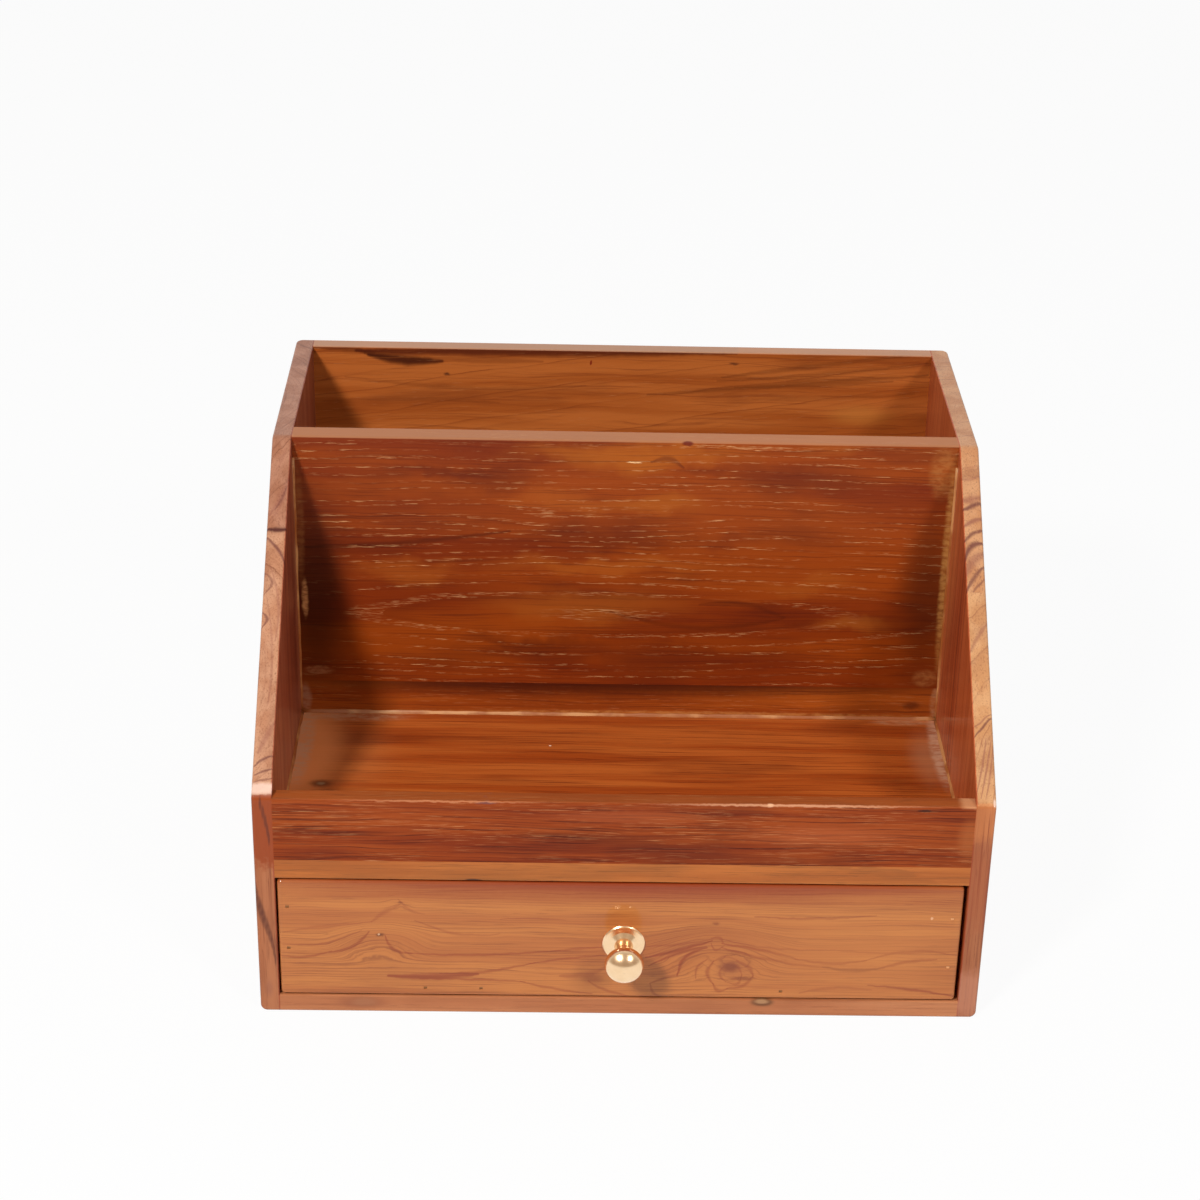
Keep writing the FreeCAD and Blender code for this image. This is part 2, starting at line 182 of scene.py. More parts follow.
world = bpy.data.worlds.new("studio")
world.use_nodes = True
bpy.context.scene.world = world
tree = world.node_tree
tree.nodes.clear()
direction = add(tree, "TexCoord").outputs["Generated"]
level = add(tree, "SeparateXYZ", {}, {0: direction})
front = add(
    tree,
    "MapRange",
    {"From Min": room_start, "From Max": sweep_start, "To Min": 1.0, "To Max": 0.0},
    {0: level.outputs[1]},
)
front_glossy = add(tree, "MixRGB", {1: colour(room_white), 2: colour(room_dark)}, {0: front})
strength = add(tree, "MapRange", {"To Min": sweep_light, "To Max": front_light}, {0: front})
path = add(tree, "LightPath")
seen = add(tree, "Background", {"Color": colour(room_white), "Strength": 1.0})
mirrored = add(tree, "Background", {"Strength": mirrored_light}, {"Color": front_glossy})
soft = add(tree, "Background", {"Color": colour(room_white)}, {"Strength": strength})
lit = add(tree, "MixShader", {}, {0: path.outputs["Is Glossy Ray"], 1: soft, 2: mirrored})
whole = add(tree, "MixShader", {}, {0: path.outputs["Is Camera Ray"], 1: lit, 2: seen})
add(tree, "OutputWorld", {}, {"Surface": whole})

lamp_aim = Vector((0, 0, 110)) * MM
lamp_size = 0.34
lamps = {
    "left_soft_box": (Vector((-1070, -1770, 1810)) * MM, 57.0),
    "right_soft_box": (Vector((1070, -1580, 1430)) * MM, 18.0),
}
for name, (place, power) in lamps.items():
    data = bpy.data.lights.new(name, "AREA")
    data.shape = "SQUARE"
    data.size = lamp_size
    data.energy = power
    lamp = bpy.data.objects.new(name, data)
    facing = (lamp_aim - place).to_track_quat("-Z", "Y")
    lamp.matrix_world = Matrix.Translation(place) @ facing.to_matrix().to_4x4()
    bpy.context.scene.collection.objects.link(lamp)
print("lamps:", ", ".join(lamps))

# %% [markdown]
# ## Teak: the grain is inside the board
#
# Teak is an oily golden-brown wood. A board is cut from a tree that grew in rings, so
# its figure isn't painted on: each face shows where it cuts the rings. The material
# works in the same way. It measures how far a point of the board is from the heart of
# the tree, in the plane across the grain, and divides that by the width of a ring. The
# long faces then show stripes and arches, and the ends show arcs, with nothing to
# unwrap. A knot is where a branch grew through the rings, and it pushes them aside.
#
# A board's space is (along the grain, across its face, through its thickness), all in
# millimetres from the model's origin.

# %% Board space and bends


def board_space(tree, axes):
    """A point of the board in millimetres, turned to (along, across, through)."""
    place = add(tree, "TexCoord").outputs["Object"]
    scaled = add(tree, "VectorMath", {"operation": "SCALE", "Scale": 1 / MM}, {0: place})
    parts = add(tree, "SeparateXYZ", {}, {0: scaled})
    turned = {i: parts.outputs["xyz".index(axis)] for i, axis in enumerate(axes)}
    return add(tree, "CombineXYZ", {}, turned)


def streaks(tree, space, length, width, seed, detail=2.0):
    """Noise drawn out along the grain: length and width are one streak's, in millimetres."""
    stretched = add(
        tree,
        "Mapping",
        {"Scale": (1 / length, 1 / width, 1 / width), "Location": (seed, seed * 0.37, seed * 0.71)},
        {"Vector": space},
    )
    settings = {"Scale": 1.0, "Detail": detail, "Roughness": 0.55}
    return add(tree, "TexNoise", settings, {"Vector": stretched})


def roughened(tree, space, size, reach):
    """The point shifted at random, by lumps of one size and at most half the reach."""
    lumps = add(tree, "TexNoise", {"Scale": 1 / size, "Detail": 3.0}, {"Vector": space}).outputs["Color"]
    centred = add(tree, "VectorMath", {"operation": "SUBTRACT", 1: (0.5, 0.5, 0.5)}, {0: lumps})
    most = (reach, reach, 0.0)
    return add(tree, "VectorMath", {"operation": "MULTIPLY_ADD", 1: most}, {0: centred, 2: space})


def distance_from(tree, space, spot):
    """How far a point is from a spot, as a share of its size: 1 is its rim. A spot is (along,
    across, half length, half width), and may add (through, half depth) to stay on one face."""
    along, across, half_length, half_width, *depth = spot
    through, half_depth = depth or (0.0, math.inf)
    sizes = Vector((half_length, half_width, half_depth))
    scale = Vector([1 / size for size in sizes])
    local = add(
        tree,
        "Mapping",
        {"Scale": scale, "Location": -scale * Vector((along, across, through))},
        {"Vector": space},
    )
    return add(tree, "VectorMath", {"operation": "LENGTH"}, {0: local}).outputs["Value"]


def distance_from_line(tree, space, line, half_width):
    """How far a point is from a line drawn from a start through a middle to an end, as a share
    of its half width. The line is bent, and thins towards its ends."""
    start, middle, end = line
    run = end - start
    reached = (middle - start).dot(run) / run.length_squared
    bow = (middle - start - run * reached) / math.sin(math.pi * reached)
    local = add(tree, "VectorMath", {"operation": "SUBTRACT", 1: start}, {0: space})
    part = add(tree, "VectorMath", {"operation": "DOT_PRODUCT", 1: run / run.length_squared}, {0: local})
    turn = add(tree, "MapRange", {"To Max": math.pi}, {"Value": part.outputs["Value"]})
    arch = add(tree, "Math", {"operation": "SINE"}, {0: turn})
    straight = add(tree, "VectorMath", {"operation": "SCALE", 0: run / math.pi}, {"Scale": turn})
    bent = add(tree, "VectorMath", {"operation": "SCALE", 0: bow}, {"Scale": arch})
    spine = add(tree, "VectorMath", {"operation": "ADD"}, {0: bent, 1: straight})
    gap = add(tree, "VectorMath", {"operation": "DISTANCE"}, {0: local, 1: spine}).outputs["Value"]
    reach = add(tree, "MapRange", {"To Min": 0.35 * half_width, "To Max": half_width}, {"Value": arch})
    return add(tree, "Math", {"operation": "DIVIDE"}, {0: gap, 1: reach})


def fade(tree, source, start, end, first=1.0, last=0.0):
    """Goes smoothly from one value to another while the source goes from start to end."""
    return add(
        tree,
        "MapRange",
        {
            "interpolation_type": "SMOOTHERSTEP",
            "From Min": start,
            "From Max": end,
            "To Min": first,
            "To Max": last,
        },
        {"Value": source},
    )


def product(tree, first, *others):
    """Several numbers multiplied: each may be a value or a node."""
    for other in others:
        if isinstance(other, float):
            first = add(tree, "Math", {"operation": "MULTIPLY", 1: other}, {0: first})
        else:
            first = add(tree, "Math", {"operation": "MULTIPLY"}, {0: first, 1: other})
    return first


print("helpers for the boards' space are ready")

# %% [markdown]
# ## Rings, fibres and pores
#
# Three things make the figure. The rings change from pale early wood to a dark line of
# late wood, and each year's line has its own strength. The fibres are fine streaks
# along the grain. The pores are short open vessels, in rows where a year begins. Filler
# and polish sit in them, so they show as pale dashes.

# %% Grain


def ring_field(tree, space, board):
    """Counts rings out from the heart: the whole part is the year, the rest its season.
    Returns the count, the board's space bent as the grain is, and how bold knots make it."""
    seed = board["seed"]
    wobble = streaks(tree, space, 150.0, 26.0, seed)
    bend = add(tree, "MapRange", {"To Min": -board["bend"], "To Max": board["bend"]}, {"Value": wobble})
    shiver = streaks(tree, space, 22.0, 4.0, seed + 1.7)
    bend = add(tree, "Math", {"operation": "MULTIPLY_ADD", 1: board["shiver"]}, {0: shiver, 2: bend})
    rough_space = roughened(tree, space, 6.5, 2.6)
    swirl = add(tree, "Math", {"operation": "ADD", 0: board["phase"], 1: 0.0})
    bold = add(tree, "Math", {"operation": "ADD", 0: 0.0, 1: 0.0})
    for spot, push, loops, boldness in board["knots"]:
        hump = fade(tree, distance_from(tree, rough_space, spot), 0.0, 1.0)
        bold = add(tree, "Math", {"operation": "MULTIPLY_ADD", 1: boldness}, {0: hump, 2: bold})
        bend = add(tree, "Math", {"operation": "MULTIPLY_ADD", 1: push}, {0: hump, 2: bend})
        swirl = add(tree, "Math", {"operation": "MULTIPLY_ADD", 1: loops}, {0: hump, 2: swirl})
    parts = add(tree, "SeparateXYZ", {}, {0: space})
    across = add(tree, "Math", {"operation": "ADD"}, {0: parts.outputs[1], 1: bend})
    bent = add(tree, "CombineXYZ", {}, {0: parts.outputs[0], 1: across, 2: parts.outputs[2]})
    heart_along, heart_across, heart_through = board["heart"]
    arch = board["arch"]
    from_heart = add(
        tree,
        "Mapping",
        {"Location": (-heart_along * arch, -heart_across, -heart_through), "Scale": (arch, 1.0, 1.0)},
        {"Vector": bent},
    )
    radius = add(tree, "VectorMath", {"operation": "LENGTH"}, {0: from_heart}).outputs["Value"]
    tapered = add(
        tree, "Math", {"operation": "MULTIPLY_ADD", 1: board["taper"]}, {0: parts.outputs[0], 2: radius}
    )
    slow_noise = {"noise_dimensions": "1D", "Scale": 0.11, "Detail": 1.0}
    uneven = add(tree, "TexNoise", slow_noise, {"W": tapered})
    spread = add(tree, "Math", {"operation": "MULTIPLY_ADD", 1: 1.6}, {0: uneven, 2: swirl})
    rings_per_mm = 1 / board["ring"]
    rings = add(tree, "Math", {"operation": "MULTIPLY_ADD", 1: rings_per_mm}, {0: tapered, 2: spread})
    return rings, bent, bold


def late_wood(tree, rings, bent, bold, board):
    """How much of the dark late wood a point has, from 0 to 1, and its season."""
    seed = board["seed"]
    season = add(tree, "Math", {"operation": "FRACT"}, {0: rings})
    line = add(tree, "ValToRGB", {}, {0: season})
    stops = line.color_ramp.elements
    stops[0].position, stops[0].color = 0.0, (0.45, 0.45, 0.45, 1)
    stops[1].position, stops[1].color = 1.0, (0.7, 0.7, 0.7, 1)
    for position, value in ((0.07, 0.03), (0.50, 0.06), (0.78, 0.25), (0.93, 1.0)):
        stop = stops.new(position)
        stop.color = (value, value, value, 1)
    year = add(tree, "Math", {"operation": "FLOOR"}, {0: rings})
    draw = add(tree, "Math", {1: seed}, {0: year})
    luck = add(tree, "TexWhiteNoise", {"noise_dimensions": "1D"}, {"W": draw})
    skewed = add(tree, "Math", {"operation": "POWER", 1: 2.0}, {0: luck})
    strength = add(tree, "MapRange", {"To Min": board["faint"], "To Max": 1.0}, {"Value": skewed})
    patchy = fade(tree, streaks(tree, bent, 70.0, 14.0, seed + 4.4), 0.36, 0.60, 0.35, 1.0)
    usual = product(tree, strength, patchy)
    bolder = add(tree, "Math", {"operation": "MAXIMUM"}, {0: usual, 1: bold})
    return product(tree, line, bolder), season


def pore_dashes(tree, space, bent, season, board):
    """Short dashes along the grain, in rows at the start of each year."""
    seed = board["seed"]
    dash = streaks(tree, space, board["pore_length"], board["pore_width"], seed + 5.1, 1.5)
    cut = 0.70 - 0.14 * board["pores"]
    dashes = fade(tree, dash, cut, cut + 0.09, 0.0, 1.0)
    cluster = fade(tree, streaks(tree, bent, 55.0, 12.0, seed + 9.7), 0.38, 0.58, 0.15, 1.0)
    row = fade(tree, season, board["pore_rows"] - 0.12, board["pore_rows"])
    return product(tree, dashes, cluster, row)


print("helpers for the grain are ready")

# %% [markdown]
# ## The finished teak
#
# The boards were sanded, wiped with a little filler and varnished. The colour is a mix
# of a pale, a middle and a dark tone of the wood, then single marks on top: knots,
# stains, chips, smears of glue that the sandpaper missed, and some painted shade, painted
# shadow, painted light and painted highlights. The varnish is a clear coat over the wood.
# It is glossy, so it carries the reflections, while the wood under it stays matt.

# %% Teak material


def blended(tree, factor, under, over, blend="MIX"):
    """One colour laid over another: either may be a hex code or a node."""
    values, links = {"blend_type": blend}, {0: factor}
    for place, tone in ((1, under), (2, over)):
        if isinstance(tone, str):
            values[place] = colour(tone)
        else:
            links[place] = tone
    return add(tree, "MixRGB", values, links)


def in_plane(pair, plane):
    """Two numbers as a point of the board's space, along the two axes of a plane."""
    return Vector([pair[plane.index(axis)] if axis in plane else 0.0 for axis in range(3)])


def teak_colour(tree, space, rings, bent, bold, board):
    """The wood's colour at a point, with the late wood, fibre and pores that shape it."""
    pale, middle, dark = board["tones"]
    seed = board["seed"]
    late, season = late_wood(tree, rings, bent, bold, board)
    broad = fade(tree, streaks(tree, bent, 240.0, board["band"], seed + 2.3), 0.36, 0.64, 0.0, 1.0)
    tone = blended(tree, broad, pale, middle)
    smoke = fade(tree, streaks(tree, bent, 95.0, 24.0, seed + 6.2, 3.0), 0.47, 0.72, 0.0, board["smoke"])
    tone = blended(tree, smoke, tone, dark)
    tone = blended(tree, product(tree, late, board["contrast"]), tone, dark)
    blotchy = roughened(tree, space, 25.0, 24.0)
    for spot, code, strength in board["patches"]:
        cover = fade(tree, distance_from(tree, blotchy, spot), 0.05, 1.0, strength, 0.0)
        tone = blended(tree, cover, tone, code)
    plane = board["line_plane"]
    flat = in_plane((1.0, 1.0), plane)
    wavering = roughened(tree, space, 7.0, 1.8)
    face = add(tree, "VectorMath", {"operation": "MULTIPLY", 1: flat}, {0: wavering})
    for *spots, half_width, code, strength in board["lines"]:
        line = [in_plane(spot, plane) for spot in spots]
        cover = fade(tree, distance_from_line(tree, face, line, half_width), 0.0, 1.6, strength, 0.0)
        tone = blended(tree, cover, tone, code)
    fibre = streaks(tree, bent, 60.0, 0.8, seed + 3.9, 3.0)
    tone = blended(tree, fade(tree, fibre, 0.48, 0.74, 0.0, board["fibre"]), tone, dark)
    tone = blended(tree, fade(tree, fibre, 0.46, 0.24, 0.0, board["fibre"] * 0.6), tone, pale)
    pores = pore_dashes(tree, space, bent, season, board)
    tone = blended(tree, product(tree, pores, board["pore_strength"]), tone, board["pore_tone"])
    parts = add(tree, "SeparateXYZ", {}, {0: space})
    for axis, start, end, code, strength, blend in board["faces"]:
        cover = fade(tree, parts.outputs[axis], start, end, 0.0, strength)
        tone = blended(tree, cover, tone, code, blend)
    loose = roughened(tree, space, 3.0, 1.6)
    for spot, code, strength, softness in board["marks"]:
        cover = fade(tree, distance_from(tree, loose, spot), 1.0 - softness, 1.0, strength, 0.0)
        tone = blended(tree, cover, tone, code)
    torn = fade(tree, streaks(tree, space, 5.0, 2.4, seed + 8.8, 4.0), 0.30, 0.66, 0.30, 1.0)
    for spot, code, strength in board["smears"]:
        cover = fade(tree, distance_from(tree, loose, spot), 0.35, 1.0, strength, 0.0)
        tone = blended(tree, product(tree, cover, torn), tone, code)
    return tone, late, fibre, pores


def teak(name, board):
    """A varnished teak board cut from its own place in the tree."""
    material, tree = new_tree(name)
    space = board_space(tree, board["axes"])
    rings, bent, bold = ring_field(tree, space, board)
    tone, late, fibre, pores = teak_colour(tree, space, rings, bent, bold, board)
    relief = add(tree, "Math", {"operation": "SUBTRACT"}, {0: fibre, 1: pores})
    ridged = add(tree, "Math", {"operation": "MULTIPLY_ADD", 1: 0.35}, {0: late, 2: relief})
    bump = add(tree, "Bump", {"Strength": 0.35, "Distance": 0.12 * MM}, {"Height": ridged})
    matt = add(tree, "MapRange", {"To Min": 0.40, "To Max": 0.62}, {"Value": fibre})
    swell = add(tree, "Bump", {"Strength": 0.10, "Distance": 0.10 * MM}, {"Height": fibre})
    wood = add(
        tree,
        "BsdfPrincipled",
        {
            "Specular IOR Level": 0.15,
            "Coat Weight": board["coat"],
            "Coat Roughness": board["coat_roughness"],
            "Coat IOR": 1.5,
        },
        {"Base Color": tone, "Roughness": matt, "Normal": bump, "Coat Normal": swell},
    )
    add(tree, "OutputMaterial", {}, {"Surface": wood})
    return material


print("teak material is ready")

# %% [markdown]
# ## Every board's own piece of wood
#
# No two boards come from the same place in the tree. The faces seen first set their
# figure: the drawer front has arches and two knots, the divider is dark with rows of
# filled pores, the lip is red and streaky, and the sides show arcs of rings on their
# sloping edges. The boards not listed by name follow their panel, from another part of
# the tree.
#
# - Heart: where the tree's middle lies, along, across and through the board.
# - Arch: how much the rings close along the board, which draws the pointed arches.
# - Taper: how fast the rings run out along the board, which tilts the lines.
# - Knots: a spot, how far it pushes the lines, how many rings it adds round itself, and
#   how bold the lines are there.
# - Patches: the broad light and dark areas of a board, under its lines and pores.
# - Lines: the boldest single lines of the figure. Each has a start, a middle and an end, in
#   the line plane's two axes, then its half width, its colour and its strength.
# - Faces: an axis (0 along, 1 across, 2 through), where on it a face's own finish starts
#   and is whole, its colour, its strength and how it blends. Sanded edges are paler. The
#   insides of the sides get painted shade, and their front edges are darker, so there the colour
#   multiplies the wood's.
# - Marks and smears: a spot, its colour and how strong it is. A mark also has a
#   softness, and a smear is torn.
#
# A spot is (along, across, half length, half width).

# %% What all boards share
plain = {
    "seed": 1.0,
    "phase": 0.0,
    "ring": 2.6,
    "bend": 5.0,
    "shiver": 1.6,
    "arch": 0.0,
    "taper": 0.01,
    "contrast": 0.6,
    "faint": 0.12,
    "band": 11.0,
    "smoke": 0.25,
    "fibre": 0.35,
    "pores": 0.4,
    "pore_rows": 0.45,
    "pore_length": 11.0,
    "pore_width": 0.55,
    "pore_strength": 0.5,
    "pore_tone": "5A2A10",
    "coat": 0.4,
    "coat_roughness": 0.12,
    "knots": (),
    "patches": (),
    "line_plane": (0, 1),
    "lines": (),
    "faces": (),
    "marks": (),
    "smears": (),
}
boards = {}

# %% Drawer front and lip
boards["drawer_front"] = {
    "axes": "xzy",
    "seed": 3.0,
    "heart": (0.0, -90.0, -100.0),
    "ring": 1.8,
    "bend": 4.0,
    "taper": 0.0,
    "tones": ("BD7439", "AF6531", "6D2F1A"),
    "contrast": 0.55,
    "faint": 0.30,
    "smoke": 0.18,
    "fibre": 0.5,
    "coat": 0.6,
    "coat_roughness": 0.05,
    "knots": (
        ((50.0, 40.0, 48.0, 26.0), -12.0, 0.0, 0.1),
        ((55.7, 30.0, 20.0, 12.0), 0.0, 3.0, 0.45),
        ((-122.0, 44.0, 36.0, 20.0), -9.0, 0.0, 0.1),
        ((-111.7, 67.0, 12.0, 6.0), -2.0, 1.2, 0.5),
    ),
    "lines": (
        ((-175.0, 34.6), (-160.3, 33.5), (-146.6, 37.4), 1.0, "822F16", 0.51),
        ((-147.6, 36.7), (-136.4, 39.9), (-127.6, 49.2), 1.2, "822F16", 0.55),
        ((-119.6, 46.9), (-115.7, 39.0), (-106.1, 36.4), 1.2, "822F16", 0.55),
        ((-108.1, 36.3), (-76.7, 35.8), (-31.0, 39.2), 0.9, "822F16", 0.47),
        ((-36.1, 38.8), (-20.9, 40.2), (-9.7, 41.6), 0.9, "822F16", 0.43),
        ((-118.5, 22.4), (-99.7, 22.3), (-72.7, 24.2), 2.2, "822F16", 0.75),
        ((-92.0, 24.3), (-66.5, 26.2), (-43.7, 31.4), 1.0, "822F16", 0.51),
        ((-46.2, 30.7), (-28.4, 34.0), (-8.6, 36.4), 0.9, "822F16", 0.43),
        ((-102.2, 21.1), (-76.7, 20.8), (-48.7, 19.6), 0.9, "822F16", 0.51),
        ((-51.2, 19.9), (-35.9, 16.0), (-14.3, 12.6), 0.9, "822F16", 0.47),
        ((-30.8, 23.5), (-18.1, 24.3), (-7.5, 28.8), 2.2, "8C4020", 0.45),
        ((-16.5, 20.6), (-7.7, 15.2), (4.2, 11.6), 1.0, "822F16", 0.43),
        ((-104.3, 56.7), (-91.8, 50.9), (-61.5, 48.8), 0.9, "8C4020", 0.43),
        ((-61.5, 57.9), (-46.4, 58.4), (-28.2, 57.7), 0.7, "8C4020", 0.51),
        ((-171.2, 41.3), (-144.9, 43.5), (-131.1, 50.3), 0.7, "8C4020", 0.36),
        ((-170.9, 48.6), (-144.6, 53.2), (-126.0, 55.2), 1.0, "8C4020", 0.32),
        ((-126.0, 55.2), (-119.3, 61.3), (-112.2, 65.6), 1.4, "8C4020", 0.36),
        ((-112.7, 69.2), (-110.2, 65.7), (-99.2, 60.4), 0.9, "8C4020", 0.36),
        ((12.3, 35.2), (29.9, 40.3), (46.0, 46.0), 1.2, "822F16", 0.69),
        ((13.9, 30.3), (23.9, 35.9), (43.1, 42.3), 1.0, "822F16", 0.58),
        ((7.5, 42.4), (29.8, 43.6), (46.4, 47.2), 0.7, "8C4020", 0.48),
        ((51.1, 44.2), (70.6, 40.8), (91.3, 35.0), 1.0, "822F16", 0.63),
        ((51.2, 41.8), (76.0, 34.8), (106.9, 30.2), 1.2, "822F16", 0.53),
        ((102.8, 30.8), (118.3, 28.8), (134.5, 30.6), 1.2, "66240F", 0.69),
        ((132.5, 30.3), (144.0, 33.8), (161.3, 35.9), 1.2, "822F16", 0.69),
        ((88.7, 35.5), (106.7, 33.0), (125.0, 34.8), 0.9, "822F16", 0.69),
        ((123.0, 34.1), (134.5, 38.3), (171.3, 38.5), 0.9, "822F16", 0.63),
        ((51.0, 46.7), (70.5, 42.7), (108.8, 41.3), 0.7, "8C4020", 0.58),
        ((106.3, 41.3), (131.9, 39.8), (171.1, 41.2), 0.7, "8C4020", 0.58),
        ((43.6, 41.7), (32.6, 35.4), (28.9, 24.3), 1.3, "822F16", 0.69),
        ((29.4, 24.9), (21.3, 22.3), (15.2, 19.2), 0.9, "8C4020", 0.58),
        ((15.2, 19.2), (16.4, 14.8), (22.1, 11.2), 0.9, "8C4020", 0.48),
        ((43.9, 35.0), (39.0, 29.4), (38.2, 22.6), 0.9, "8C4020", 0.54),
        ((47.5, 33.8), (44.2, 27.0), (48.0, 19.0), 1.3, "822F16", 0.49),
        ((47.5, 19.6), (50.7, 15.3), (55.3, 16.6), 1.2, "822F16", 0.45),
        ((54.8, 16.6), (62.4, 18.5), (67.8, 24.8), 1.2, "822F16", 0.45),
        ((67.8, 24.2), (64.4, 30.9), (58.7, 33.9), 1.3, "822F16", 0.49),
        ((59.7, 33.9), (52.5, 36.3), (47.0, 33.2), 0.9, "8C4020", 0.42),
        ((52.7, 30.8), (50.8, 25.8), (54.1, 20.9), 0.9, "822F16", 0.42),
        ((54.1, 20.9), (59.3, 19.7), (62.1, 25.3), 0.9, "822F16", 0.42),
        ((62.1, 24.7), (58.8, 30.9), (53.2, 31.4), 0.9, "822F16", 0.42),
        ((45.4, 47.8), (47.9, 48.2), (51.6, 44.9), 1.2, "8C4020", 0.58),
        ((45.5, 44.2), (48.2, 40.5), (52.2, 43.0), 1.0, "8C4020", 0.58),
        ((92.4, 14.6), (110.2, 17.9), (129.3, 16.9), 1.2, "8C4020", 0.48),
        ((127.1, 19.7), (146.2, 17.7), (173.4, 13.1), 1.0, "822F16", 0.73),
        ((67.1, 60.8), (95.0, 60.0), (128.3, 62.3), 0.9, "8C4020", 0.63),
    ),
    "marks": (
        # A dark band along the top of the drawer front, just under the shelf's edge: painted shade.
        ((0.0, 85.0, 400.0, 24.0), "842A05", 0.92, 0.95),
        ((120.0, 38.0, 90.0, 44.0), "C67C3E", 0.40, 0.95),
        ((55.7, 30.0, 8.0, 5.4), "6A2814", 0.85, 0.9),
        ((57.0, 29.0, 16.0, 11.0), "94502E", 0.35, 0.9),
        ((62.0, 23.0, 10.0, 2.0), "6E2C18", 0.6, 0.8),
        ((47.6, 56.5, 3.0, 1.6), "7A3A1C", 0.6, 0.9),
        ((-122.1, 47.5, 3.4, 1.6), "54240F", 0.8, 0.9),
        ((-122.6, 47.8, 0.9, 0.8), "D8AC84", 0.7, 0.5),
        ((-111.7, 67.0, 2.4, 1.2), "6A3018", 0.6, 0.9),
        ((-14.0, 22.0, 9.0, 5.0), "7A3418", 0.55, 0.95),
        ((156.9, 60.9, 1.0, 1.0), "E0B088", 0.7, 0.6),
    ),
}
boards["front_lip"] = {
    "axes": "xzy",
    "seed": 7.0,
    "heart": (0.0, 60.0, -230.0),
    "ring": 1.5,
    "shiver": 1.0,
    "tones": ("964111", "7C2C05", "491405"),
    "smoke": 0.4,
    "fibre": 0.95,
    "pores": 0.7,
    "pore_rows": 0.9,
    "pore_length": 14.0,
    "pore_width": 0.2,
    "pore_tone": "DC9C64",
    "coat": 0.06,
    "coat_roughness": 0.2,
    "marks": (
        ((40.0, 97.0, 70.0, 5.0), "6A2408", 0.5, 0.9),
        ((-150.0, 97.0, 30.0, 5.0), "742A0A", 0.5, 0.9),
        ((-68.5, 126.0, 8.0, 1.2), "4A3A4A", 0.6, 0.9),
        ((148.5, 124.4, 5.0, 0.9), "341810", 0.8, 0.7),
        # A pale spot on the rounded front top edge: painted highlight.
        ((72.0, 126.6, 2.4, 1.6, -144.0, 2.0), "E8B890", 0.8, 0.8),
        ((172.0, 108.0, 9.0, 18.0), "A85E30", 0.5, 0.9),
        ((171.0, 127.0, 7.0, 2.2), "E0A070", 0.55, 0.8),
        # Two pale lines along the rounded front top edge: painted highlights.
        ((84.0, 126.5, 92.0, 1.0, -144.0, 1.5), "E0A47C", 0.6, 0.8),
        ((-90.0, 126.5, 70.0, 0.8, -144.0, 1.2), "D89468", 0.45, 0.8),
        ((100.0, 109.0, 60.0, 10.0), "B46038", 0.30, 0.95),
        ((0.0, 119.0, 60.0, 6.0), "B05C34", 0.30, 0.95),
    ),
    "faces": ((1, 126.2, 126.9, "9C5224", 0.5, "MIX"),),
}

